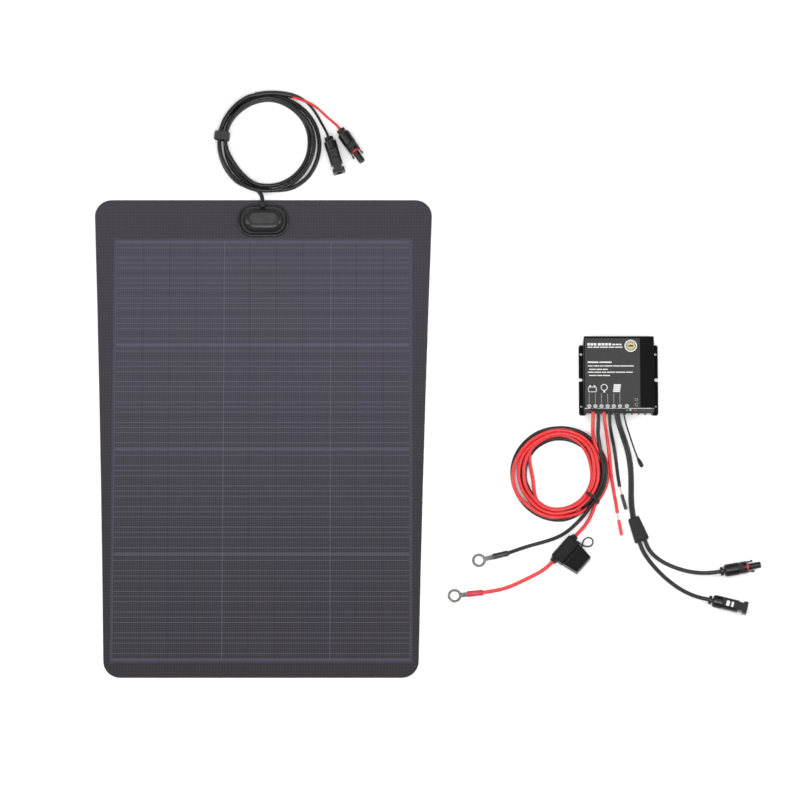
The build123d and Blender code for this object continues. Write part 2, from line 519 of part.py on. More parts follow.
# ---------------------------------------------------------------- inline fuse holder
def fuse_holder():
    """Local X runs along the wire, local Y toward the cap's closed end."""
    place = aimed(FUSE_X, FUSE_Y, FUSE_Z, FUSE_HEADING)
    body = slab(-20, 20, -7, 13, -7.1, 7.1)
    body = fillet(body.edges().filter_by(Axis.Z), 1.5)
    body += slab(-14.5, 14.5, 12, 19, -5.3, 5.3)
    for side in (-1, 1):
        boot = Rot(0, 90, 0) * Cone(6.0, 4.6, 6.9, align=(Align.CENTER, Align.CENTER, Align.MIN))
        body += Rot(0, 0, 0 if side > 0 else 180) * Pos(19, 0, 0) * boot
    body -= slab(-11.2, 11.2, -3, 20, -3.1, 3.1)
    save("fuse_holder_body", place * body)

    outline = Polyline((-19, 13.3), (19, 13.3), (15.3, 39), (-15.3, 39), close=True)
    cap = Pos(0, 0, -7.1) * extrude(make_face(outline), 14.2)
    cap = fillet(cap.edges().filter_by(Axis.Z), 1.2)
    cap -= slab(-15, 15, 13, 22, -5.7, 5.7)
    cap -= slab(-12.5, 12.5, 13, 36.5, -5.7, 5.7)
    save("fuse_holder_cap", place * cap)

    clips = [slab(x - 2.8, x + 2.8, -2.6, 8, -1.7, 1.7) - slab(x - 3.5, x + 3.5, -0.5, 9, -0.5, 0.5)
             for x in (-6.7, 6.7)]
    save("fuse_contacts", *[place * clip for clip in clips])

    fuse = slab(-9.5, 9.5, 10, 22, -2.5, 2.5)
    fuse = fillet(fuse.edges().filter_by(Axis.Z), 1.0)
    for x in (-6.7, 6.7):
        fuse += slab(x - 2.4, x + 2.4, 1.5, 11, -0.33, 0.33)
    save("blade_fuse", place * fuse)

    loop = [(-21.6, 5, 0), (-23.6, 9.4, 0), (-26.2, 13.8, 0), (-30.8, 16.4, 0), (-35.4, 17.6, 0),
            (-38.4, 21.2, 0), (-36.6, 25, 0), (-32, 25.4, 0), (-27.4, 22.8, 0), (-24, 19.6, 0),
            (-20.4, 18.4, 0)]
    save("fuse_holder_strap", place * cord(loop, 0.9))


panel()
junction_box()
panel_lead()
controller()
battery_leads()
fuse_holder()
load_leads()
photovoltaic_input()
temperature_sensor()
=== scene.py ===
from math import acos, copysign, cos, exp, pi, radians, sin

import bmesh
import bpy
from mathutils import Matrix, Vector


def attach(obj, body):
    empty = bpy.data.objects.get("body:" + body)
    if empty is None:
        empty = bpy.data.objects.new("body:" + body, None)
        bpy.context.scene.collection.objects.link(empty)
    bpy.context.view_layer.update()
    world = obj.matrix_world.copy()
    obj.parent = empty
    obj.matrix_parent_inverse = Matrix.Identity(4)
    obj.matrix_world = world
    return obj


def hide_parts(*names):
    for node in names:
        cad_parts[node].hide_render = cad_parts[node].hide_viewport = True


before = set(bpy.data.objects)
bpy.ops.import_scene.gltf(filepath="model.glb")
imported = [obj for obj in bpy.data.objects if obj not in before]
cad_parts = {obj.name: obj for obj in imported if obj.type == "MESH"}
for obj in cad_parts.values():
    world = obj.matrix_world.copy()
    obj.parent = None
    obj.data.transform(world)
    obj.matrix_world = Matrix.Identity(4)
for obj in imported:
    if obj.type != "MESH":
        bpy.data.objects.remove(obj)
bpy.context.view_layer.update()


# ---- panel back board
# The stiff black glass-fibre sheet that the cells are laid on. Its woven cloth just shows
# through the resin, and its edge is sawn.
def srgb(red, green, blue):
    """The linear colour a shader takes, from screen values out of 255."""
    linear = [c / 3294.6 if c <= 10 else ((c / 255 + 0.055) / 1.055) ** 2.4 for c in (red, green, blue)]
    return (*linear, 1.0)


def finish(name, colour, roughness, **sockets):
    """A material with one surface shader; extra sockets are given with _ for a space."""
    material = bpy.data.materials.new(name)
    material.use_nodes = True
    shader = material.node_tree.nodes["Principled BSDF"]
    shader.inputs["Base Color"].default_value = colour
    shader.inputs["Roughness"].default_value = roughness
    for socket, value in sockets.items():
        shader.inputs[socket.replace("_", " ")].default_value = value
    return material


def position(material, turn=0.0, centre=(0, 0, 0)):
    """Place on the piece in metres, measured from a centre and turned about Z."""
    tree = material.node_tree
    place = tree.nodes.new("ShaderNodeTexCoord").outputs["Object"]
    moved = tree.nodes.new("ShaderNodeVectorMath")
    moved.operation = "SUBTRACT"
    moved.inputs[1].default_value = centre
    tree.links.new(place, moved.inputs[0])
    mapping = tree.nodes.new("ShaderNodeMapping")
    mapping.inputs["Rotation"].default_value = (0, 0, -turn)
    tree.links.new(moved.outputs[0], mapping.inputs["Vector"])
    return mapping.outputs[0]


def noise(material, place, scale, detail=3.0):
    """Soft random value from 0 to 1."""
    node = material.node_tree.nodes.new("ShaderNodeTexNoise")
    node.inputs["Scale"].default_value = scale
    node.inputs["Detail"].default_value = detail
    material.node_tree.links.new(place, node.inputs["Vector"])
    return node.outputs["Fac"]


def calc(material, operation, first, second=0.0, third=0.0):
    """One sum on values or on other sockets."""
    node = material.node_tree.nodes.new("ShaderNodeMath")
    node.operation = operation
    for socket, value in zip(node.inputs, (first, second, third)):
        if isinstance(value, bpy.types.NodeSocket):
            material.node_tree.links.new(value, socket)
        else:
            socket.default_value = value
    return node.outputs[0]


def between(material, value, low, high):
    """0 where a value is at low, 1 where it is at high, smooth between."""
    node = material.node_tree.nodes.new("ShaderNodeMapRange")
    node.interpolation_type = "SMOOTHSTEP"
    node.inputs["From Min"].default_value = low
    node.inputs["From Max"].default_value = high
    material.node_tree.links.new(value, node.inputs["Value"])
    return node.outputs["Result"]


def mixed(material, amount, first, second):
    """One colour turning into another."""
    node = material.node_tree.nodes.new("ShaderNodeMix")
    node.data_type = "RGBA"
    for socket, value in ((node.inputs[0], amount), (node.inputs[6], first), (node.inputs[7], second)):
        if isinstance(value, bpy.types.NodeSocket):
            material.node_tree.links.new(value, socket)
        else:
            socket.default_value = value
    return node.outputs[2]


def colour_by(material, output):
    """Base colour from a pattern."""
    material.node_tree.links.new(output, material.node_tree.nodes["Principled BSDF"].inputs["Base Color"])


def clouded(material, place, scale, darker, lighter, detail=3.0):
    """Base colour that drifts between two tones."""
    colour_by(material, mixed(material, noise(material, place, scale, detail), darker, lighter))


def shade(colour, factor):
    """The same colour made darker or lighter."""
    return tuple(min(1.0, c * factor) for c in colour[:3]) + (1.0,)


def gloss_by(material, value, low, high):
    """Roughness that drifts from low to high with a value."""
    output = calc(material, "MULTIPLY_ADD", value, high - low, low)
    material.node_tree.links.new(output, material.node_tree.nodes["Principled BSDF"].inputs["Roughness"])


def relief(material, height, depth):
    """Bump of a real depth in metres, laid over any bump already there."""
    tree = material.node_tree
    normal = tree.nodes["Principled BSDF"].inputs["Normal"]
    bump = tree.nodes.new("ShaderNodeBump")
    bump.inputs["Distance"].default_value = depth
    bump.inputs["Strength"].default_value = 1.0
    tree.links.new(height, bump.inputs["Height"])
    if normal.is_linked:
        tree.links.new(normal.links[0].from_socket, bump.inputs["Normal"])
    tree.links.new(bump.outputs[0], normal)


def coordinate(material, place, axis):
    """One of a place's three coordinates: 0 for X, 1 for Y, 2 for Z."""
    split = material.node_tree.nodes.new("ShaderNodeSeparateXYZ")
    material.node_tree.links.new(place, split.inputs[0])
    return split.outputs[axis]


def saw(material, value, period):
    """Distance from the nearest multiple of a period, in periods: 0 on it, 0.5 between."""
    return calc(material, "PINGPONG", calc(material, "DIVIDE", value, period), 0.5)


def dress(node, material):
    """Give a framed part its finish."""
    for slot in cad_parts[node].material_slots:
        slot.material = material


YARNS = 1800  # radians of weave a metre

board = finish("glass_fibre_board", srgb(44, 43, 47), 0.55)
board_place = position(board)
warp, weft = [calc(board, "SINE", calc(board, "MULTIPLY", coordinate(board, board_place, axis), YARNS))
              for axis in (0, 1)]
weave = calc(board, "MULTIPLY", warp, weft)
clouded(board, board_place, 9, srgb(36, 35, 39), srgb(54, 53, 58))
gloss_by(board, noise(board, board_place, 30), 0.45, 0.62)
relief(board, weave, 0.00015)
dress("panel_back_board", board)

# ---- solar cells and ribbons
# Quarter-cut mono silicon cells in four rows of eleven, joined by flat tinned ribbons and
# sealed in the pocket between the board and the film.
CELL_PITCH, ROW_PITCH = 0.0396, 0.1596
CELL_COLUMNS, CELL_ROWS = 11, 4
BLOCK_X, BLOCK_Y, BLOCK_CENTRE_Y = CELL_COLUMNS * CELL_PITCH / 2, CELL_ROWS * ROW_PITCH / 2, -0.019
FINGER_PITCH = 0.0016

silicon = finish("silicon_cell", srgb(24, 26, 44), 0.3)
silicon_place = position(silicon)
finger = calc(silicon, "LESS_THAN", saw(silicon, coordinate(silicon, silicon_place, 0), FINGER_PITCH), 0.05)
blue = mixed(silicon, noise(silicon, silicon_place, 25), srgb(20, 21, 40), srgb(33, 35, 56))
colour_by(silicon, mixed(silicon, finger, blue, srgb(120, 124, 134)))
dress("solar_cells", silicon)

tinned = finish("tinned_copper", srgb(186, 184, 178), 0.32, Metallic=1.0)
tinned_place = position(tinned)
clouded(tinned, tinned_place, 300, srgb(160, 156, 150), srgb(206, 204, 200))
relief(tinned, noise(tinned, tinned_place, 900), 0.0002)
dress("cell_ribbons", tinned)

# ---- front film
# Clear matt plastic film, pressed with a fine pyramid texture, over the cells and black
# backing. The cells, their borders and the ribbons show through it as soft lines.
RIBBON_PITCH, FINE_PITCH = 0.0312, 0.0078
PRESS_PITCH, GRID_PITCH = (0.0044, 0.0048), (0.0031, 0.0026)
GROUP_COLUMNS = 4.04, 8.04
RIM_WIDTH, SHEEN_REACH = 0.006, 0.36

film = finish("textured_film", srgb(70, 68, 74), 0.62, Specular_IOR_Level=0.12)
film_place = position(film)
film_x, film_y = coordinate(film, film_place, 0), coordinate(film, film_place, 1)
# Every tone of the film below is painted lighter toward the panel's top: painted sheen.
sheen_toward_top = between(film, film_y, -SHEEN_REACH, SHEEN_REACH)
press_dots, grid_dots = [calc(film, "MULTIPLY", saw(film, film_x, along), saw(film, film_y, up))
                         for along, up in (PRESS_PITCH, GRID_PITCH)]
plain = mixed(film, sheen_toward_top, srgb(39, 37, 41), srgb(53, 51, 57))
margin = mixed(film, calc(film, "MULTIPLY", press_dots, 1.1), plain, srgb(80, 76, 82))

block_y = calc(film, "SUBTRACT", film_y, BLOCK_CENTRE_Y)
outside = calc(film, "MAXIMUM",
               calc(film, "SUBTRACT", calc(film, "ABSOLUTE", film_x), BLOCK_X),
               calc(film, "SUBTRACT", calc(film, "ABSOLUTE", block_y), BLOCK_Y))
inside = calc(film, "LESS_THAN", outside, 0.0)
rim = calc(film, "SUBTRACT", 1.0, between(film, outside, 0.0, RIM_WIDTH))

column = calc(film, "DIVIDE", calc(film, "ADD", film_x, BLOCK_X), CELL_PITCH)
row = calc(film, "DIVIDE", calc(film, "ADD", block_y, BLOCK_Y), ROW_PITCH)
cell_number = film.node_tree.nodes.new("ShaderNodeCombineXYZ")
film.node_tree.links.new(calc(film, "FLOOR", column), cell_number.inputs[0])
film.node_tree.links.new(calc(film, "FLOOR", row), cell_number.inputs[1])
cell_shade = film.node_tree.nodes.new("ShaderNodeTexWhiteNoise")
cell_shade.noise_dimensions = "2D"
film.node_tree.links.new(cell_number.outputs[0], cell_shade.inputs["Vector"])
purple = mixed(film, sheen_toward_top, srgb(36, 34, 40), srgb(60, 57, 71))
grey = mixed(film, sheen_toward_top, srgb(39, 38, 40), srgb(57, 56, 61))
toward_grey = calc(film, "MULTIPLY_ADD", cell_shade.outputs["Value"], 0.45,
                   calc(film, "MULTIPLY", noise(film, film_place, 7), 0.5))
cells = mixed(film, toward_grey, purple, grey)

row_middle = calc(film, "MULTIPLY", calc(film, "SUBTRACT", calc(film, "FRACT", row), 0.5), ROW_PITCH)
ribbon_line = calc(film, "LESS_THAN", saw(film, row_middle, RIBBON_PITCH), 0.034)
faint_line = calc(film, "LESS_THAN", saw(film, row_middle, FINE_PITCH), 0.09)
strip_line = calc(film, "LESS_THAN", saw(film, column, 1.0), 0.02)
group_line = calc(film, "MAXIMUM", *(calc(film, "COMPARE", column, where, 0.022) for where in GROUP_COLUMNS))
row_line = calc(film, "LESS_THAN", saw(film, row, 1.0), 0.0055)

glint = mixed(film, 0.24, cells, srgb(150, 148, 165))
cells = mixed(film, calc(film, "MULTIPLY", grid_dots, 2.2), cells, glint)
for line, strength, tint in (
        (faint_line, 0.13, srgb(128, 126, 146)), (strip_line, 0.22, srgb(30, 28, 36)),
        (group_line, 0.11, srgb(140, 138, 160)), (row_line, 0.12, srgb(140, 138, 166)),
        (ribbon_line, 0.42, srgb(34, 32, 40))):
    cells = mixed(film, calc(film, "MULTIPLY", line, strength), cells, tint)
# A pale purple band just outside the cell block: a painted glow along its edge.
around = mixed(film, calc(film, "MULTIPLY", rim, 0.30), margin, srgb(96, 92, 116))
colour_by(film, mixed(film, inside, around, cells))
gloss_by(film, noise(film, film_place, 40), 0.55, 0.68)
press = film.node_tree.nodes.new("ShaderNodeTexVoronoi")
press.inputs["Scale"].default_value = 560
film.node_tree.links.new(film_place, press.inputs["Vector"])
relief(film, press.outputs["Distance"], 0.00022)
relief(film, noise(film, film_place, 14), 0.0006)
dress("panel_front_film", film)


# ---- junction box
# Moulded black box bonded over the cell leads: a wide flange with a raised rim, a soft-edged
# lid with a flat top, a rubber seal between them and a collar that grips the panel's lead.
BOX_CENTRE = Vector((0.0, 0.332, 0.0))
FLANGE_WIDTH, FLANGE_DEPTH, FLANGE_CORNER, FLANGE_BASE = 0.076, 0.0495, 0.022, 0.0029
LID_WIDTH, LID_DEPTH, LID_CORNER, LID_BASE = 0.0610, 0.0370, 0.0180, 0.0032


def rounded_face(bm, width, depth, corner, height, segments=10):
    """A level face with round corners."""
    made = bmesh.ops.create_grid(bm, x_segments=1, y_segments=1, size=0.5)
    bmesh.ops.scale(bm, vec=(width, depth, 1), verts=made["verts"])
    bmesh.ops.translate(bm, vec=(0, 0, height), verts=made["verts"])
    bmesh.ops.bevel(bm, geom=made["verts"], offset=corner, affect="VERTICES", segments=segments,
                    profile=0.5, material=-1)
    face = max((f for f in bm.faces if abs(f.calc_center_median().z - height) < 1e-7),
               key=lambda f: f.calc_area())
    if face.normal.z < 0:
        face.normal_flip()
    return face


def stepped(bm, face, steps):
    """Take a face through steps of (inset, rise); a negative inset spreads it."""
    for inset, rise in steps:
        bmesh.ops.inset_region(bm, faces=[face], thickness=inset, depth=rise, use_even_offset=True,
                               use_boundary=True)


def settle(name, bm, body, *materials, sharp=35, move=None):
    """Turn a bmesh into a finished piece that rides on a body."""
    if move is not None:
        bmesh.ops.transform(bm, matrix=move, verts=bm.verts)
    bmesh.ops.remove_doubles(bm, verts=bm.verts, dist=1e-6)
    bmesh.ops.recalc_face_normals(bm, faces=bm.faces)
    mesh = bpy.data.meshes.new(name)
    bm.to_mesh(mesh)
    bm.free()
    mesh.polygons.foreach_set("use_smooth", [True] * len(mesh.polygons))
    mesh.set_sharp_from_angle(angle=radians(sharp))
    for material in materials:
        mesh.materials.append(material)
    piece = bpy.data.objects.new(name, mesh)
    bpy.context.collection.objects.link(piece)
    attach(piece, body)
    return piece


def moulded(name, colour, rough=0.42, grain=0.00012, scale=700, **sockets):
    """Plain moulded plastic: slight clouding, a fine spark-eroded grain and uneven gloss."""
    material = finish(name, colour, rough, **sockets)
    place = position(material)
    clouded(material, place, 60, shade(colour, 0.8), shade(colour, 1.22))
    gloss_by(material, noise(material, place, 120), rough - 0.07, rough + 0.09)
    relief(material, noise(material, place, scale), grain)
    return material


box_plastic = moulded("box_plastic", srgb(36, 36, 37), 0.24, grain=0.00005, Specular_IOR_Level=0.26)

bm = bmesh.new()
flange = rounded_face(bm, FLANGE_WIDTH, FLANGE_DEPTH, FLANGE_CORNER, FLANGE_BASE)
stepped(bm, flange, [(0.0, 0.0019), (0.0004, 0.0007), (0.0008, 0.0004), (0.0009, 0.0), (0.0007, -0.0005),
                     (0.0003, -0.0017), (0.0006, -0.0004), (0.0030, 0.0)])
settle("junction_flange", bm, "panel_unit", box_plastic, move=Matrix.Translation(BOX_CENTRE))
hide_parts("junction_box_base")

bm = bmesh.new()
lid = rounded_face(bm, LID_WIDTH, LID_DEPTH, LID_CORNER, LID_BASE)
stepped(bm, lid, [(0.0002, 0.0026), (0.0005, 0.0026), (0.0010, 0.0024), (0.0014, 0.0020), (0.0018, 0.0015),
                  (0.0021, 0.0010), (0.0022, 0.0005), (0.0010, 0.0001), (0.0003, -0.0002), (0.0006, 0.0)])
settle("junction_lid", bm, "panel_unit", box_plastic, sharp=50, move=Matrix.Translation(BOX_CENTRE))
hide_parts("junction_box_cover")

rubber = moulded("rubber", srgb(22, 22, 23), 0.5, grain=0.0002, scale=420)
dress("junction_box_gasket", rubber)
dress("junction_box_gland", box_plastic)
dress("junction_box_terminals", tinned)


# ---- panel lead
# One round two-core lead, 6.2 mm over its black sheath, from the box's collar. It is wound
# into a coil, and its cores come out of a shrunk sleeve at the coil's top.
def nurbs(name, route):
    """One smooth open curve led by hand-laid points."""
    curve = bpy.data.curves.new(name, "CURVE")
    curve.dimensions = "3D"
    spline = curve.splines.new("NURBS")
    spline.points.add(len(route) - 1)
    for point, place in zip(spline.points, route):
        point.co = (*place, 1)
    spline.order_u = 3
    spline.use_endpoint_u = True
    curve.resolution_u = 6
    return curve


def lead(name, route, diameter, material, body):
    """A free round lead along a hand-laid route."""
    curve = nurbs(name, route)
    curve.bevel_depth = diameter / 2
    curve.bevel_resolution = 5
    curve.use_fill_caps = True
    curve.materials.append(material)
    piece = bpy.data.objects.new(name, curve)
    bpy.context.collection.objects.link(piece)
    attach(piece, body)
    return piece


CORNER_CUT, POINTS_A_TURN = 1.012, 20


def wound(centre, start, lay, oval=1.0, low=1.0):
    """Points round a coil, clockwise from a start angle; lay is (turns, radius, height) in mm.
    An oval over 1 stretches the coil's far half along Y, and low does so on the near half.
    The points are set a little wide, as the curve cuts their corners."""
    points = []
    for (turn, radius, height), (turn_b, radius_b, height_b) in zip(lay, lay[1:]):
        count = max(1, round((turn_b - turn) * POINTS_A_TURN))
        for k in range(count):
            share = k / count
            ease = share * share * (3 - 2 * share)
            angle = radians(start - 360 * (turn + (turn_b - turn) * share))
            reach = (radius + (radius_b - radius) * ease) * CORNER_CUT / 1000
            points.append((centre[0] + reach * cos(angle),
                           centre[1] + (oval if sin(angle) > 0 else low) * reach * sin(angle),
                           (height + (height_b - height) * ease) / 1000))
    return points


def sheath(name, colour, rough, gloss):
    """Extruded cable plastic with a faint drag along it and handling marks."""
    material = finish(name, colour, rough, Specular_IOR_Level=gloss)
    place = position(material)
    clouded(material, place, 45, shade(colour, 0.84), shade(colour, 1.14))
    gloss_by(material, noise(material, place, 90), rough - 0.08, rough + 0.1)
    relief(material, noise(material, place, 420), 0.00025)
    return material


panel_tail = [
    (-0.001, 0.358, 0.0096), (-0.0016, 0.3675, 0.0093), (-0.0066, 0.3765, 0.0085),
    (-0.0148, 0.3825, 0.0076)]
panel_end = [(-0.013, 0.527, 0.0092), (0.0045, 0.53, 0.009)]
red_core = [
    (0.042, 0.5254, 0.0042), (0.049, 0.523, 0.0056), (0.057, 0.5198, 0.0067), (0.0665, 0.5156, 0.0068),
    (0.076, 0.5106, 0.0062), (0.0848, 0.5036, 0.0046), (0.093, 0.4952, 0.0034),
    (0.1018, 0.4868, 0.0056), (0.1112, 0.4776, 0.0093), (0.1178, 0.4676, 0.0093)]
black_core = [
    (0.0426, 0.5294, 0.0042), (0.05, 0.527, 0.0032), (0.058, 0.5226, 0.0022), (0.0652, 0.5166, 0.00195),
    (0.0712, 0.5098, 0.00195), (0.0774, 0.5009, 0.00195), (0.0832, 0.4906, 0.0026),
    (0.0888, 0.479, 0.0056), (0.0951, 0.4664, 0.0093), (0.0985, 0.4548, 0.0093)]
PANEL_COIL = (0.0078, 0.4538)
panel_lay = [
    (0.04, 75.0, 5.6), (0.12, 74.4, 4.6), (0.2, 74.2, 4.5), (0.32, 74.6, 3.2), (0.42, 73.4, 3.2),
    (0.5, 71.5, 3.2), (0.6, 73.0, 3.2), (0.7, 75.4, 3.2), (0.8, 77.2, 3.2), (0.88, 74.8, 3.2),
    (0.95, 70.0, 3.2), (1.05, 66.6, 3.2), (1.15, 66.0, 4.3), (1.22, 66.0, 4.5), (1.3, 66.0, 3.6),
    (1.45, 66.5, 3.2),
    (1.55, 62.6, 3.2), (1.7, 60.6, 3.2), (1.8, 61.4, 3.2), (1.9, 64.0, 6.0), (2.0, 66.2, 9.2),
    (2.06, 61.8, 9.4), (2.12, 61.4, 10.2), (2.2, 65.6, 10.7), (2.32, 66.8, 9.4), (2.45, 68.0, 9.4),
    (2.56, 63.8, 9.2), (2.7, 67.4, 8.6), (2.8, 68.6, 8.6), (2.9, 72.0, 9.6), (3.0, 74.0, 9.6),
    (3.08, 74.8, 10.4), (3.2, 74.6, 10.8), (3.32, 75.2, 9.6), (3.42, 76.4, 9.3)]
black_sheath = sheath("cable_sheath_black", srgb(19, 19, 20), 0.26, 0.34)
core_black = sheath("core_black", srgb(15, 14, 16), 0.26, 0.34)
core_red = sheath("core_red", srgb(204, 40, 43), 0.28, 0.45)

panel_route = panel_tail + wound(PANEL_COIL, 249.5, panel_lay, oval=1.015, low=1.05) + panel_end
panel_lead = lead("panel_lead", panel_route, 0.0062, black_sheath, "panel_unit")
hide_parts("panel_lead_tail", "panel_lead_coil")
sleeve_rubber = moulded("shrunk_sleeve", srgb(32, 32, 33), 0.4, grain=0.0006, scale=230,
                        Specular_IOR_Level=0.35)
dress("panel_lead_sleeve", sleeve_rubber)
panel_red = lead("panel_red", red_core, 0.0038, core_red, "panel_unit")
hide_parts("panel_red_core")
panel_black = lead("panel_black", black_core, 0.0038, core_black, "panel_unit")
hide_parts("panel_black_core")

# ---- coil strap
# A short strap of black hook-and-loop tape round all the turns of the coil, its woolly side
# out. It dips between the two stacks of lead and narrows a little where it turns down.
STRAP_ANGLE, STRAP_REACH, STRAP_HEIGHT = 172.5, 0.0708, 0.0080
STRAP_WIDTH, STRAP_ROWS, STRAP_THICK = 0.0122, 6, 0.001
STRAP_ACROSS, STRAP_UP, STRAP_SQUARE = 0.0118, 0.0068, 0.66
STRAP_DIP, DIP_WIDTH, STRAP_PINCH = 0.0021, 0.003, 0.22

strap_fabric = finish("strap_fabric", srgb(34, 34, 35), 0.85, Sheen_Weight=0.25)
strap_place = position(strap_fabric)
clouded(strap_fabric, strap_place, 900, srgb(18, 18, 19), srgb(56, 56, 58), detail=5.0)
relief(strap_fabric, noise(strap_fabric, strap_place, 1400, 5.0), 0.0009)


def laid_along(place, heading):
    """Lays a form that was drawn upward down on the table: its Z runs along a heading, its Y is up."""
    along = Vector((cos(radians(heading)), sin(radians(heading)), 0))
    side = Vector((-along.y, along.x, 0))
    return Matrix.Translation(place) @ Matrix((side, Vector((0, 0, 1)), along)).transposed().to_4x4()


bm = bmesh.new()
bmesh.ops.create_circle(bm, cap_ends=False, segments=96, radius=1.0)
for vert in bm.verts:
    across, up = vert.co.x, vert.co.y
    vert.co.x = STRAP_ACROSS * copysign(abs(across) ** STRAP_SQUARE, across)
    vert.co.y = STRAP_UP * copysign(abs(up) ** STRAP_SQUARE, up)
    if up > 0:
        vert.co.y -= STRAP_DIP * exp(-(vert.co.x / DIP_WIDTH) ** 2)
for _ in range(STRAP_ROWS):
    edge_height = max(vert.co.z for vert in bm.verts)
    rim_edges = [edge for edge in bm.edges
                 if all(abs(vert.co.z - edge_height) < 1e-7 for vert in edge.verts)]
    grown = bmesh.ops.extrude_edge_only(bm, edges=rim_edges)["geom"]
    bmesh.ops.translate(bm, verts=[part for part in grown if isinstance(part, bmesh.types.BMVert)],
                        vec=(0, 0, STRAP_WIDTH / STRAP_ROWS))
bmesh.ops.translate(bm, verts=bm.verts, vec=(0, 0, -STRAP_WIDTH / 2))
for vert in bm.verts:
    vert.co.z *= 1 - STRAP_PINCH * (abs(vert.co.x) / STRAP_ACROSS) ** 6
bmesh.ops.recalc_face_normals(bm, faces=bm.faces)
bmesh.ops.solidify(bm, geom=bm.faces[:], thickness=STRAP_THICK)
strap_centre = (PANEL_COIL[0] + STRAP_REACH * cos(radians(STRAP_ANGLE)),
                PANEL_COIL[1] + STRAP_REACH * sin(radians(STRAP_ANGLE)), STRAP_HEIGHT)
coil_strap = settle("coil_strap", bm, "panel_unit", strap_fabric, sharp=50,
                    move=laid_along(strap_centre, STRAP_ANGLE - 90))
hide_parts("panel_lead_wrap")

# ---- panel connectors
# Plug and socket moulded in black, each with its screwed gland nut, red sealing ring and
# rubber cable seal; the contacts are tinned.
connector_plastic = moulded("connector_plastic", srgb(14, 14, 15), 0.26, grain=0.00015, scale=520,
                            Specular_IOR_Level=0.36)
silicone = moulded("silicone_red", srgb(196, 40, 48), 0.5)
for owner in ("panel", "controller"):
    for part in ("plug_nut", "plug_body", "socket_nut", "socket_body"):
        dress(f"{owner}_{part}", connector_plastic)
    dress(f"{owner}_connector_contacts", tinned)
    dress(f"{owner}_connector_seals", silicone)

# ---- charge controller
# Black coated aluminium: a finned base with bolt ears, a case and a lid whose lower edges
# carry a painted highlight. The board, coil and power parts are inside.
GLINT_BELOW_Y, GLINT_ABOVE_Z = 0.0349, 0.0347

coated = finish("coated_aluminium", srgb(8, 8, 9), 0.4, Specular_IOR_Level=0.07)
coated_place = position(coated)
speckle = noise(coated, coated_place, 1100, 4.0)
# The lid's lower front edges are painted pale in broken patches: a painted highlight along them.
edge_low = calc(coated, "MULTIPLY",
                calc(coated, "LESS_THAN", coordinate(coated, coated_place, 1), GLINT_BELOW_Y),
                calc(coated, "GREATER_THAN", coordinate(coated, coated_place, 2), GLINT_ABOVE_Z))
painted_edge_glint = calc(coated, "MULTIPLY", edge_low, between(coated, noise(coated, coated_place, 160), 0.25, 0.6))
coat = mixed(coated, speckle, srgb(5, 5, 6), srgb(13, 13, 14))
colour_by(coated, mixed(coated, painted_edge_glint, coat, srgb(190, 190, 194)))
gloss_by(coated, speckle, 0.34, 0.5)
relief(coated, speckle, 0.00025)
for part in ("controller_heat_sink", "controller_case", "controller_cover"):
    dress(part, coated)
dress("controller_gasket", rubber)
dress("cable_grommet", rubber)
steel = finish("steel_screw", srgb(150, 150, 152), 0.35, Metallic=1.0)
relief(steel, noise(steel, position(steel), 1200), 0.0002)
dress("controller_screws", steel)
circuit = finish("circuit_board", srgb(22, 84, 52), 0.45)
clouded(circuit, position(circuit), 500, srgb(14, 66, 40), srgb(40, 110, 70))
dress("controller_board", circuit)
ferrite = moulded("ferrite_and_copper", srgb(150, 84, 46), 0.4)
dress("controller_inductor", ferrite)
parts_black = moulded("electronic_parts", srgb(40, 42, 50), 0.4)
dress("controller_power_parts", parts_black)

# ---- controller label
# A printed dark film on the lid, with plain bars for its text, a ring seal, three icons and
# a row of terminal marks. Nothing on it can be read.
LABEL_LEFT, LABEL_TOP, LABEL_Z = 0.4766, 0.1416, 0.03625
INK_LIFT, INK_THICK, BAR_CORNER = 0.00004, 0.00004, 0.2
WHITE, GREY, GOLD = 0, 1, 2
MARKS_X, LAST_MARK_X, MARKS_Y = (6.0, 15.1, 24.1, 33.2, 42.2, 51.3), 61.5, 104.0
SEAL_X, SEAL_Y = 68.0, 11.7

label_film = finish("label_film", srgb(58, 58, 59), 0.55, Specular_IOR_Level=0.1)
label_place = position(label_film)
clouded(label_film, label_place, 700, srgb(50, 50, 51), srgb(64, 64, 65), detail=4.0)
relief(label_film, noise(label_film, label_place, 1500), 0.0001)
dress("controller_label", label_film)

white_ink = finish("white_ink", srgb(214, 214, 212), 0.5)
clouded(white_ink, position(white_ink), 1500, srgb(168, 168, 168), srgb(232, 232, 230))
grey_ink = finish("grey_ink", srgb(132, 132, 132), 0.5)
clouded(grey_ink, position(grey_ink), 1500, srgb(110, 110, 110), srgb(150, 150, 150))
gold_ink = finish("gold_ink", srgb(172, 164, 112), 0.5)
clouded(gold_ink, position(gold_ink), 600, srgb(150, 140, 86), srgb(188, 180, 130))


def added(bm, form):
    """Puts a small form, once it is shaped and placed, into the piece it belongs to."""
    held = bpy.data.meshes.new("held")
    form.to_mesh(held)
    form.free()
    bm.from_mesh(held)
    bpy.data.meshes.remove(held)


def bar(bm, left, top, width, height, ink=WHITE):
    """One printed bar, in label millimetres from its top left."""
    sheet = bmesh.new()
    face = rounded_face(sheet, width / 1000, height / 1000, min(BAR_CORNER, width / 3, height / 3) / 1000,
                        LABEL_Z + INK_LIFT, segments=2)
    stepped(sheet, face, [(0.0, INK_THICK)])
    for each in sheet.faces:
        each.material_index = ink
    middle = (LABEL_LEFT + (left + width / 2) / 1000, LABEL_TOP - (top + height / 2) / 1000, 0)
    bmesh.ops.translate(sheet, verts=sheet.verts, vec=middle)
    added(bm, sheet)


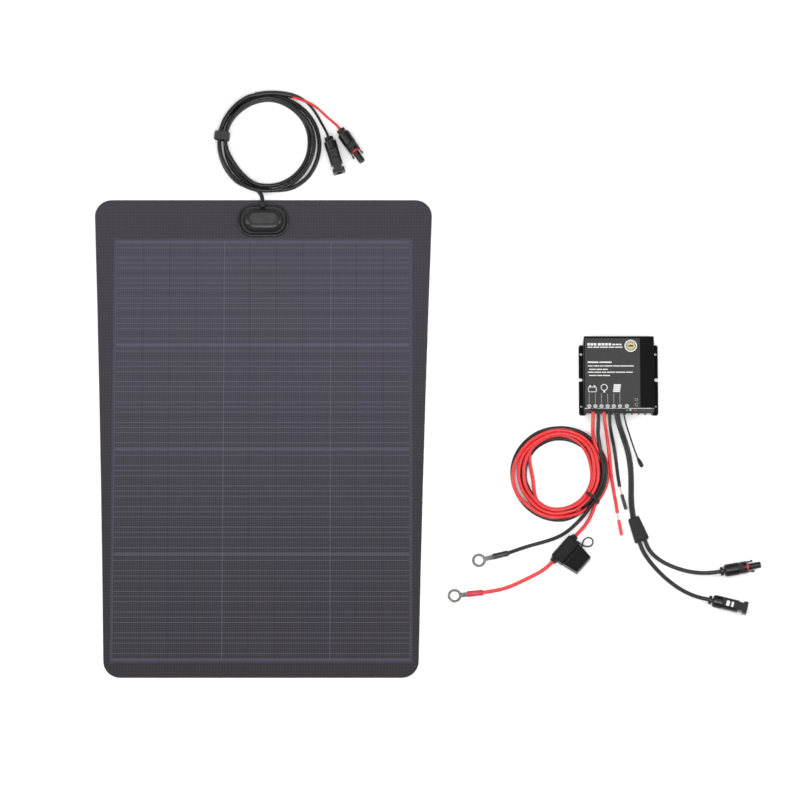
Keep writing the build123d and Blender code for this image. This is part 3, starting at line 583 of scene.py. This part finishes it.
def ring(bm, x, y, outer, inner, ink=WHITE, lift=0.00008):
    """One printed ring or, with no inner radius, a disc, in label millimetres."""
    sheet = bmesh.new()
    bmesh.ops.create_circle(sheet, cap_ends=inner == 0, segments=40, radius=outer / 1000)
    if inner:
        bmesh.ops.create_circle(sheet, cap_ends=False, segments=40, radius=inner / 1000)
        bmesh.ops.bridge_loops(sheet, edges=sheet.edges)
    for each in sheet.faces:
        each.material_index = ink
        if each.normal.z < 0:
            each.normal_flip()
    bmesh.ops.translate(sheet, verts=sheet.verts,
                        vec=(LABEL_LEFT + x / 1000, LABEL_TOP - y / 1000, LABEL_Z + lift))
    added(bm, sheet)


# Each line of print: top, height, left end, then bars and gaps in turn.
lines = [
    (7.6, 3.6, 4.0, (3.4, 1.0, 4.2, 1.0, 3.6, 2.2, 4.6, 1.0, 4.2, 1.0, 4.0, 1.0, 3.8)),
    (8.6, 2.2, 40.6, (4.6, 0.8, 4.2, 0.8, 3.4)),
    (13.0, 1.6, 4.0, (7.0, 1.0, 9.4, 1.0, 12.0, 1.0, 8.0, 1.0, 11.4)),
    (35.8, 2.1, 4.0, (15.8, 1.4, 18.4)),
    (41.8, 1.5, 4.5, (7.6, 1.0, 8.4, 0.9, 5.2, 1.0, 12.4, 1.0, 9.6, 0.9, 20.0)),
    (47.0, 1.5, 6.2, (9.8, 1.0, 8.2, 1.0, 7.4)),
    (51.4, 1.5, 4.5, (8.4, 1.0, 10.2, 1.0, 6.2, 1.0, 12.0, 1.0, 14.2, 0.9, 10.4)),
    (56.4, 1.5, 6.2, (11.0, 1.0, 7.6, 1.0, 10.4))]
bm = bmesh.new()
for top, height, left, lengths in lines:
    for k, length in enumerate(lengths):
        if k % 2 == 0:
            bar(bm, left, top, length, height)
        left += length
for x in MARKS_X:
    bar(bm, x - 0.4, 84.4, 0.8, 14.6, GREY)
for x in (*MARKS_X, LAST_MARK_X):
    ring(bm, x, MARKS_Y, 3.3, 0, GREY)
    ring(bm, x, MARKS_Y, 2.2, 1.7, WHITE, 0.00012)
# The battery, lamp and panel icons.
for left, top, width, height in ((4.5, 74.4, 12.5, 1.0), (4.5, 81.6, 12.5, 1.0), (4.5, 74.4, 1.0, 8.2),
                                 (16.0, 74.4, 1.0, 8.2), (6.2, 72.2, 2.6, 2.4), (12.6, 72.2, 2.6, 2.4)):
    bar(bm, left, top, width, height)
ring(bm, 28.3, 75.4, 5.1, 4.1)
bar(bm, 27.0, 80.2, 2.6, 3.0)
for k in range(4):
    bar(bm, 42.6 - 0.45 * k, 70.6 + 3.1 * k, 10.4, 2.5)
# The small marks in the lower right corner, and then the ring seal.
for left, top, width, height in ((73.0, 92.2, 2.2, 1.0), (73.0, 94.6, 2.2, 1.0), (76.4, 91.6, 1.0, 4.6),
                                 (73.4, 99.6, 1.0, 4.0), (75.6, 98.8, 2.6, 1.0), (76.0, 102.4, 1.2, 2.4)):
    bar(bm, left, top, width, height, GREY)
ring(bm, SEAL_X, SEAL_Y, 9.2, 7.5)
ring(bm, SEAL_X, SEAL_Y, 6.6, 0, GOLD)
ring(bm, SEAL_X, SEAL_Y, 5.6, 5.2, GREY, 0.00014)
bar(bm, SEAL_X - 3.4, SEAL_Y - 1.0, 6.8, 2.0)
print_piece = settle("label_print", bm, "controller_unit", white_ink, grey_ink, gold_ink)

# ---- status lights
# Three small moulded lenses in a row in the case's lower face: green, clear and red. Each
# stands over a light on the circuit board.
CLEAR_FROM, RED_FROM = 0.541, 0.5473

lens = finish("led_plastic", srgb(220, 220, 220), 0.25, Coat_Weight=0.4)
lens_x = coordinate(lens, position(lens), 0)
green_or_clear = mixed(lens, calc(lens, "GREATER_THAN", lens_x, CLEAR_FROM), srgb(96, 196, 140),
                       srgb(250, 250, 250))
colour_by(lens, mixed(lens, calc(lens, "GREATER_THAN", lens_x, RED_FROM), green_or_clear, srgb(235, 58, 62)))
dress("status_leds", lens)

# ---- battery leads
# A red and a black stranded lead, 5.5 mm over the sheath, wound together into one coil. The
# black one goes straight on to its ring terminal, the red one to the fuse holder.
battery_red_in = [
    (0.4885, 0.031, 0.027), (0.4883, 0.019, 0.0258), (0.488, 0.0065, 0.0205), (0.4888, -0.005, 0.014),
    (0.4932, -0.0155, 0.0095)]
battery_black_in = [
    (0.4965, 0.031, 0.027), (0.4963, 0.02, 0.026), (0.4957, 0.0085, 0.0226), (0.4959, -0.0025, 0.0178),
    (0.498, -0.014, 0.0136), (0.4996, -0.0255, 0.011)]
battery_red_out = [
    (0.4906, -0.1032, 0.0033), (0.4884, -0.1126, 0.0029), (0.4842, -0.1223, 0.0028),
    (0.479, -0.1316, 0.0034), (0.4734, -0.1396, 0.0052), (0.4674, -0.1461, 0.0069),
    (0.4615, -0.1525, 0.0074)]
battery_black_out = [
    (0.4851, -0.1057, 0.009), (0.4796, -0.1146, 0.0076), (0.4718, -0.1242, 0.0056),
    (0.4619, -0.1342, 0.0038), (0.4503, -0.1444, 0.0029), (0.437, -0.1526, 0.00275),
    (0.42, -0.1589, 0.00275), (0.401, -0.1641, 0.00275), (0.381, -0.1702, 0.0029),
    (0.3625, -0.1774, 0.0036)]
battery_red_end = [
    (0.4275, -0.1915, 0.0074), (0.4214, -0.1979, 0.0066), (0.4134, -0.2039, 0.005),
    (0.4024, -0.21, 0.0036), (0.388, -0.217, 0.0028), (0.37, -0.226, 0.00275), (0.348, -0.2336, 0.0029),
    (0.3255, -0.2368, 0.0036)]
red_lay = [
    (0.05, 66.6, 5.8), (0.12, 65.0, 3.0), (0.21, 64.6, 3.0), (0.3, 65.2, 5.0), (0.37, 66.6, 8.4),
    (0.45, 67.4, 8.8), (0.52, 69.8, 8.8), (0.6, 69.4, 8.8), (0.68, 66.0, 8.8), (0.76, 64.8, 9.8),
    (0.86, 66.4, 9.2), (0.95, 65.4, 8.8), (1.03, 60.6, 9.0), (1.1, 56.8, 9.2), (1.21, 56.4, 9.0),
    (1.3, 59.6, 9.0), (1.37, 61.4, 8.8), (1.45, 61.4, 8.8), (1.52, 60.0, 8.6), (1.6, 60.6, 8.6),
    (1.68, 61.0, 8.8), (1.76, 59.2, 8.8), (1.86, 61.6, 8.6), (1.95, 60.6, 8.6), (2.03, 55.4, 8.4),
    (2.1, 51.0, 8.4), (2.21, 50.6, 8.4), (2.3, 54.0, 8.8), (2.37, 55.8, 8.8), (2.45, 55.6, 8.6),
    (2.52, 53.8, 8.4), (2.6, 52.8, 8.4), (2.68, 54.8, 8.4), (2.76, 57.4, 8.0), (2.86, 60.0, 5.0),
    (2.95, 55.6, 3.2), (3.03, 49.4, 3.0), (3.1, 47.6, 3.0), (3.2, 47.8, 3.0), (3.3, 50.6, 3.0),
    (3.4, 53.6, 3.0), (3.477, 52.0, 3.2), (3.532, 42.6, 3.2), (3.583, 39.6, 3.2), (3.637, 42.6, 3.2),
    (3.69, 52.0, 3.0), (3.75, 60.4, 3.0), (3.84, 67.0, 3.0), (3.93, 70.4, 3.0), (4.03, 71.2, 3.0),
    (4.12, 70.6, 3.0), (4.22, 68.4, 3.2)]
black_lay = [
    (0.05, 65.4, 10.6), (0.1, 63.0, 9.6), (0.18, 61.6, 9.2), (0.3, 57.4, 8.4), (0.42, 55.2, 3.4),
    (0.5, 50.4, 2.8), (0.58, 51.4, 2.8), (0.7, 53.6, 2.8), (0.83, 55.0, 2.8), (0.92, 54.6, 2.8),
    (1.0, 54.4, 2.8), (1.1, 54.0, 2.8), (1.18, 54.6, 2.8), (1.33, 61.6, 2.8), (1.58, 57.4, 2.8),
    (1.7, 60.0, 2.8), (1.83, 61.8, 2.8), (2.0, 60.8, 2.8), (2.1, 59.6, 2.8), (2.18, 60.2, 2.8),
    (2.33, 69.2, 2.8), (2.5, 69.4, 2.8), (2.62, 71.4, 2.8), (2.74, 71.6, 3.0), (2.84, 70.8, 5.0),
    (2.92, 70.4, 8.6), (3.0, 69.4, 9.4), (3.1, 67.6, 9.2), (3.2, 66.2, 9.0)]
BATTERY_COIL = (0.4393, -0.0582)
battery_red_route = battery_red_in + wound(BATTERY_COIL, 38.5, red_lay) + battery_red_out
battery_red = lead("battery_red", battery_red_route, 0.0055, core_red, "controller_unit")
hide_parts("battery_red_lead", "battery_coil")
battery_black_route = battery_black_in + wound(BATTERY_COIL, 28.5, black_lay) + battery_black_out
battery_black = lead("battery_black", battery_black_route, 0.0055, core_black, "controller_unit")
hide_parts("battery_black_lead")
battery_end = lead("battery_end", battery_red_end, 0.0055, core_red, "controller_unit")
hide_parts("battery_red_end_lead")
tie_plastic = moulded("tie_plastic", srgb(22, 17, 19), 0.45, grain=0.0003, Specular_IOR_Level=0.3)
dress("battery_coil_tie", tie_plastic)

# ---- ring terminals
# Stamped and crimped copper rings, tinned to a dull grey, each with a shrunk sleeve: black on
# the black lead, crimson on the red one.
terminal_metal = finish("terminal_metal", srgb(140, 139, 136), 0.3, Metallic=0.9)
terminal_place = position(terminal_metal)
# The strong mottle from near black to pale grey is painted reflection: the dark and bright ticks a bevelled
# ring reflects.
clouded(terminal_metal, terminal_place, 700, srgb(30, 30, 29), srgb(150, 149, 146), detail=4.0)
relief(terminal_metal, noise(terminal_metal, terminal_place, 420), 0.0018)
dress("ring_terminals", terminal_metal)
SLEEVE_BARREL = 0.0057


def shrunk(name, start, heading, colour):
    """A shrunk sleeve, flattened over its crimp, with a blunt cut at each end."""
    material = moulded(name + "_plastic", colour, 0.16, grain=0.0011, scale=260)
    bm = bmesh.new()
    cut = rounded_face(bm, 0.0074, 0.0056, 0.0027, 0.0)
    bmesh.ops.duplicate(bm, geom=[cut])
    stepped(bm, cut, [(-0.0006, 0.0004), (0.0, 0.0050), (0.0003, 0.0030), (-0.0002, 0.0040),
                      (-0.0002, 0.0050), (0.0001, SLEEVE_BARREL), (0.0006, 0.0004)])
    sleeve = settle(name, bm, "controller_unit", material, move=laid_along(start, heading))
    return sleeve


black_end = shrunk("black_sleeve", (0.3625, -0.1774, 0.0036), 193.5, srgb(15, 15, 16))
red_end = shrunk("crimson_sleeve", (0.3255, -0.2368, 0.0036), 186.0, srgb(182, 16, 46))
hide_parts("terminal_sleeves")
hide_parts("terminal_sleeves")

# ---- fuse holder
# A splash-proof blade fuse holder in soft black plastic: a body with six grip ribs and a boot
# at each end, a pull-off cap with a raised panel and lips, and a thin strap that loops out to one
# side and keeps the cap from being lost. The grip ribs and lips are painted pale: a painted highlight.
FUSE_PLACE, FUSE_HEADING, FUSE_TOP = (0.4445, -0.172, 0.0074), 228.9, 0.0071
RIDGE_FOOT, GRIP_RIBS, GRIP_START, GRIP_PITCH = FUSE_TOP - 0.0002, 6, -0.0052, 0.0031
FINE_RIBS = 4200  # radians of fine ribbing a metre
CAP_TAPER_FROM, CAP_TAPER = 0.0155, 8.6

fuse_plastic = moulded("fuse_plastic", srgb(13, 13, 14), 0.3, Specular_IOR_Level=0.3)
# Pale plastic for ribs, lips and edges: a painted highlight where they catch the light.
painted_highlight_plastic = moulded("painted_highlight_plastic", srgb(44, 44, 45), 0.3, Specular_IOR_Level=0.3)
fuse_place = position(fuse_plastic, turn=radians(FUSE_HEADING), centre=FUSE_PLACE)
fuse_y = coordinate(fuse_plastic, fuse_place, 1)
relief(fuse_plastic, calc(fuse_plastic, "SINE", calc(fuse_plastic, "MULTIPLY", fuse_y, FINE_RIBS)), 0.0003)
for part in ("fuse_holder_body", "fuse_holder_cap"):
    dress(part, fuse_plastic)


def ridge(bm, x, y, width, depth, height, rise):
    """One low moulded ridge with softened edges, in metres."""
    form = bmesh.new()
    face = rounded_face(form, width, depth, min(width, depth) * 0.3, height, segments=2)
    stepped(form, face, [(0.0, rise * 0.6), (min(width, depth) * 0.18, rise * 0.4)])
    bmesh.ops.translate(form, verts=form.verts, vec=(x, y, 0))
    added(bm, form)


def turned(place, heading):
    """Takes a form drawn at the origin to its place, turned about Z."""
    return Matrix.Translation(place) @ Matrix.Rotation(radians(heading), 4, "Z")


fuse_frame = turned(FUSE_PLACE, FUSE_HEADING)
bm = bmesh.new()
for k in range(GRIP_RIBS):
    ridge(bm, 0, GRIP_START + GRIP_PITCH * k, 0.0370, 0.0010, RIDGE_FOOT, 0.0008)
body_ribs = settle("fuse_body_ribs", bm, "controller_unit", painted_highlight_plastic, move=fuse_frame)

bm = bmesh.new()
ridge(bm, 0, 0.0148, 0.0366, 0.0020, RIDGE_FOOT, 0.0011)
ridge(bm, 0, 0.0270, 0.0322, 0.0190, RIDGE_FOOT, 0.0008)
for vert in bm.verts:
    vert.co.x *= 1 - max(0.0, vert.co.y - CAP_TAPER_FROM) * CAP_TAPER
cap_panel = settle("fuse_cap_panel", bm, "fuse_cap", fuse_plastic, move=fuse_frame)

bm = bmesh.new()
ridge(bm, 0, 0.0380, 0.0296, 0.0012, RIDGE_FOOT, 0.0006)
ridge(bm, 0, 0.0170, 0.0370, 0.0008, RIDGE_FOOT, 0.0006)
cap_edges = settle("fuse_cap_edges", bm, "fuse_cap", painted_highlight_plastic, move=fuse_frame)

# The strap's line, in millimetres on the holder.
strap_line = [
    (-20.6, 5, 0), (-21.6, 9, 0.6), (-21.9, 16, 1.6), (-23.4, 22.4, 1.6), (-28.6, 27.4, 0.8),
    (-35.2, 27.0, 0), (-39.2, 21.6, 0), (-37.4, 15.6, -0.4), (-31.6, 12.9, -0.8), (-26, 14.2, -1.4),
    (-21.6, 17.2, -1.6), (-17.6, 18.2, -0.8)]
strap_route = [fuse_frame @ (Vector(place) / 1000) for place in strap_line]
fuse_strap = lead("fuse_strap", strap_route, 0.0023, rubber, "controller_unit")
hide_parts("fuse_holder_strap")
dress("fuse_contacts", tinned)
dress("blade_fuse", moulded("fuse_orange", srgb(214, 120, 40), 0.3))

# ---- load leads
# A red and a black lead for the load, cut short, each with its end bared and the cut piece
# of sheath pushed along to keep the strands together.
load_red = [
    (0.5045, 0.031, 0.027), (0.5051, 0.02, 0.026), (0.5069, 0.0085, 0.0216), (0.509, -0.0035, 0.015),
    (0.511, -0.0165, 0.0086), (0.5128, -0.031, 0.0042), (0.514, -0.047, 0.0026),
    (0.5159, -0.065, 0.0025), (0.519, -0.085, 0.0025), (0.5218, -0.101, 0.0025),
    (0.5238, -0.1165, 0.0025)]
load_black = [
    (0.5125, 0.031, 0.027), (0.5128, 0.02, 0.026), (0.5138, 0.0085, 0.0216), (0.5164, -0.0035, 0.015),
    (0.5194, -0.0165, 0.0086), (0.5216, -0.03, 0.0042), (0.5234, -0.045, 0.0026),
    (0.5252, -0.061, 0.0025), (0.5276, -0.0765, 0.0025)]
load_red_wire = lead("load_red", load_red, 0.005, core_red, "controller_unit")
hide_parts("load_red_lead")
load_black_wire = lead("load_black", load_black, 0.005, core_black, "controller_unit")
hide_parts("load_black_lead")
dress("load_bare_ends", tinned)
BLACK_SLUG_FROM = -0.12
slug = finish("insulation_slug", srgb(232, 48, 52), 0.4)
slug_place = position(slug)
slug_red = mixed(slug, noise(slug, slug_place, 60), srgb(216, 40, 44), srgb(240, 62, 62))
on_black = calc(slug, "GREATER_THAN", coordinate(slug, slug_place, 1), BLACK_SLUG_FROM)
colour_by(slug, mixed(slug, on_black, slug_red, srgb(34, 34, 36)))
relief(slug, noise(slug, slug_place, 420), 0.0002)
dress("load_insulation_slugs", slug)

# ---- solar input cable
# A flat twin cable to a moulded splitter, from which two single leads go to the plug and the
# socket that take the panel's connectors.
twin_cable = [
    (0.5235, 0.031, 0.027), (0.5249, 0.0195, 0.026), (0.5288, 0.007, 0.0218), (0.5338, -0.006, 0.0156),
    (0.5388, -0.02, 0.0096), (0.5424, -0.036, 0.0058), (0.5443, -0.054, 0.0044),
    (0.5446, -0.074, 0.0042), (0.5442, -0.092, 0.0043), (0.5449, -0.1085, 0.0048),
    (0.5471, -0.1246, 0.0055)]
plug_lead = [
    (0.5639, -0.1579, 0.0055), (0.5676, -0.1684, 0.0046), (0.5743, -0.1783, 0.0036),
    (0.5845, -0.1872, 0.003), (0.598, -0.195, 0.003), (0.6135, -0.2012, 0.003),
    (0.6285, -0.2054, 0.0036), (0.6425, -0.2078, 0.0058), (0.6555, -0.2086, 0.0082),
    (0.6684, -0.2076, 0.0093), (0.6802, -0.2056, 0.0093)]
socket_lead = [
    (0.5557, -0.1609, 0.0055), (0.5592, -0.1714, 0.0046), (0.5654, -0.1826, 0.0036),
    (0.5745, -0.1948, 0.003), (0.5862, -0.208, 0.003), (0.5998, -0.2206, 0.003),
    (0.6134, -0.2308, 0.0036), (0.6262, -0.2384, 0.005), (0.6386, -0.2442, 0.0074),
    (0.6509, -0.2476, 0.0093), (0.6625, -0.2504, 0.0093)]
TWIN_CORE, TWIN_APART, CORE_POINTS = 0.0046, 0.0038, 20

# The cable's figure-of-eight section: two round cores that run into one another.
section = bpy.data.curves.new("twin_section", "CURVE")
section.dimensions = "2D"
outline = section.splines.new("POLY")
outline.points.add(2 * CORE_POINTS - 1)
open_arc = pi - acos(TWIN_APART / TWIN_CORE)
for k, point in enumerate(outline.points):
    side = 1 if k < CORE_POINTS else -1
    bearing = (k % CORE_POINTS / (CORE_POINTS - 1) * 2 - 1) * open_arc + (0 if side > 0 else pi)
    point.co = (side * TWIN_APART / 2 + TWIN_CORE / 2 * cos(bearing), TWIN_CORE / 2 * sin(bearing), 0, 1)
outline.use_cyclic_u = True
section_line = bpy.data.objects.new("twin_section", section)
spine = bpy.data.objects.new("twin_spine", nurbs("twin_spine", twin_cable))
for each in (section_line, spine):
    bpy.context.collection.objects.link(each)


def as_mesh(piece):
    """The mesh that a curve comes out as."""
    bpy.context.view_layer.update()
    return bpy.data.meshes.new_from_object(piece.evaluated_get(bpy.context.evaluated_depsgraph_get()))


twin_path = [tuple(vert.co) for vert in as_mesh(spine).vertices]
spine.data.bevel_mode = "OBJECT"
spine.data.bevel_object = section_line
spine.data.twist_mode = "Z_UP"
spine.data.use_fill_caps = True
bm = bmesh.new()
bm.from_mesh(as_mesh(spine))
for each in (section_line, spine):
    bpy.data.objects.remove(each)
twin = settle("twin_cable", bm, "controller_unit", black_sheath, sharp=60)
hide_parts("pv_twin_cable")
plug_wire = lead("plug_lead", plug_lead, 0.006, black_sheath, "controller_unit")
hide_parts("splitter_lead_plug")
socket_wire = lead("socket_lead", socket_lead, 0.006, black_sheath, "controller_unit")
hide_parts("splitter_lead_socket")

# ---- splitter
# Black plastic moulded over the twin cable's end and the two single leads. It widens toward
# the single leads, and twelve low ribs across its top are painted pale: a painted highlight.
SPLITTER_PLACE, SPLITTER_HEADING = (0.5471, -0.1246, 0.0055), -70
SPLITTER_RIBS, RIB_START, RIB_PITCH = 12, 0.0040, 0.0026
SPLITTER_NECK, SPLITTER_SPREAD = 0.0130, 0.149

splitter_plastic = moulded("splitter_plastic", srgb(13, 13, 14), 0.3, Specular_IOR_Level=0.25)
dress("splitter_block", splitter_plastic)
bm = bmesh.new()
for k in range(SPLITTER_RIBS):
    x = RIB_START + RIB_PITCH * k
    ridge(bm, x, 0, 0.0009, SPLITTER_NECK + SPLITTER_SPREAD * x, 0.0048, 0.0009)
splitter_ribs = settle("splitter_ribs", bm, "controller_unit", painted_highlight_plastic,
                       move=turned(SPLITTER_PLACE, SPLITTER_HEADING))

# ---- placeholder
SOCKET_PLACE, SOCKET_HEADING = (0.6567, -0.2490, 0.0093), -13.7

window_glare = finish("window_glare_paint", srgb(226, 226, 224), 0.5)
clouded(window_glare, position(window_glare), 500, srgb(206, 206, 204), srgb(240, 240, 238))
bm = bmesh.new()
for x, length in ((0.0287, 0.0052), (0.0355, 0.0037)):
    ridge(bm, x, 0, length, 0.0084, 0.0052, 0.0008)
socket_window_glare = settle("socket_window_glare", bm, "controller_unit", window_glare,
                        move=turned(SOCKET_PLACE, SOCKET_HEADING))

# ---- temperature sensor
# A thin round lead from the grommet, with the sensor at its end sealed in a teardrop bead of
# black resin.
sensor_lead = [
    (0.5335, 0.031, 0.027), (0.5349, 0.022, 0.0264), (0.5376, 0.012, 0.0234), (0.5412, 0.002, 0.018),
    (0.5452, -0.0085, 0.0116), (0.5492, -0.0195, 0.006), (0.5534, -0.0303, 0.0032)]
sensor_wire = lead("sensor_wire", sensor_lead, 0.0024, core_black, "controller_unit")
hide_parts("sensor_lead")
dress("sensor_bead", moulded("sensor_resin", srgb(14, 14, 15), 0.2, Specular_IOR_Level=0.4))

# ---- floor, light and camera
# A plain white table under an even studio light: a large soft one overhead, one at each side
# and two strips that draw the gloss. It is looked at steeply from the front.
bm = bmesh.new()
bmesh.ops.create_grid(bm, x_segments=1, y_segments=1, size=4.0)
bmesh.ops.translate(bm, verts=bm.verts, vec=(0.2, 0, -0.0004))
floor_mesh = bpy.data.meshes.new("floor")
bm.to_mesh(floor_mesh)
bm.free()
floor_mesh.materials.append(finish("floor_white", (0.93, 0.93, 0.93, 1), 0.9, Specular_IOR_Level=0.0))
floor = bpy.data.objects.new("floor", floor_mesh)
bpy.context.collection.objects.link(floor)

world = bpy.data.worlds.new("studio")
world.use_nodes = True
world.node_tree.nodes["Background"].inputs["Color"].default_value = (1, 1, 1, 1)
world.node_tree.nodes["Background"].inputs["Strength"].default_value = 0.34
bpy.context.scene.world = world
bpy.context.scene.view_settings.view_transform = "Standard"

AIM = Vector((0.2036, 0.0567, 0.0))
CAMERA_REACH, CAMERA_RISE = 10, radians(75)
for name, spot, width, depth, power in (
        ("overhead", (0.2, -0.9, 2.6), 2.6, 1.4, 52), ("left", (-1.9, 0.2, 1.5), 1.0, 2.0, 26),
        ("right", (2.3, 0.2, 1.5), 1.0, 2.0, 26), ("front strip", (0.2, -1.3, 2.3), 0.9, 0.22, 9),
        ("rear strip", (0.28, 0.85, 2.6), 1.5, 0.6, 11)):
    light = bpy.data.lights.new(name, "AREA")
    light.shape = "RECTANGLE"
    light.size = width
    light.size_y = depth
    light.energy = power
    lamp = bpy.data.objects.new(name, light)
    lamp.location = spot
    lamp.rotation_euler = (AIM - Vector(spot)).to_track_quat("-Z", "Y").to_euler()
    bpy.context.collection.objects.link(lamp)

camera_data = bpy.data.cameras.new("camera")
camera_data.sensor_width = 36
camera_data.lens = 304
camera_data.clip_end = 60
camera = bpy.data.objects.new("camera", camera_data)
camera.location = AIM + CAMERA_REACH * Vector((0, -cos(CAMERA_RISE), sin(CAMERA_RISE)))
camera.rotation_euler = (radians(90) - CAMERA_RISE, 0, 0)
bpy.context.collection.objects.link(camera)
bpy.context.scene.camera = camera
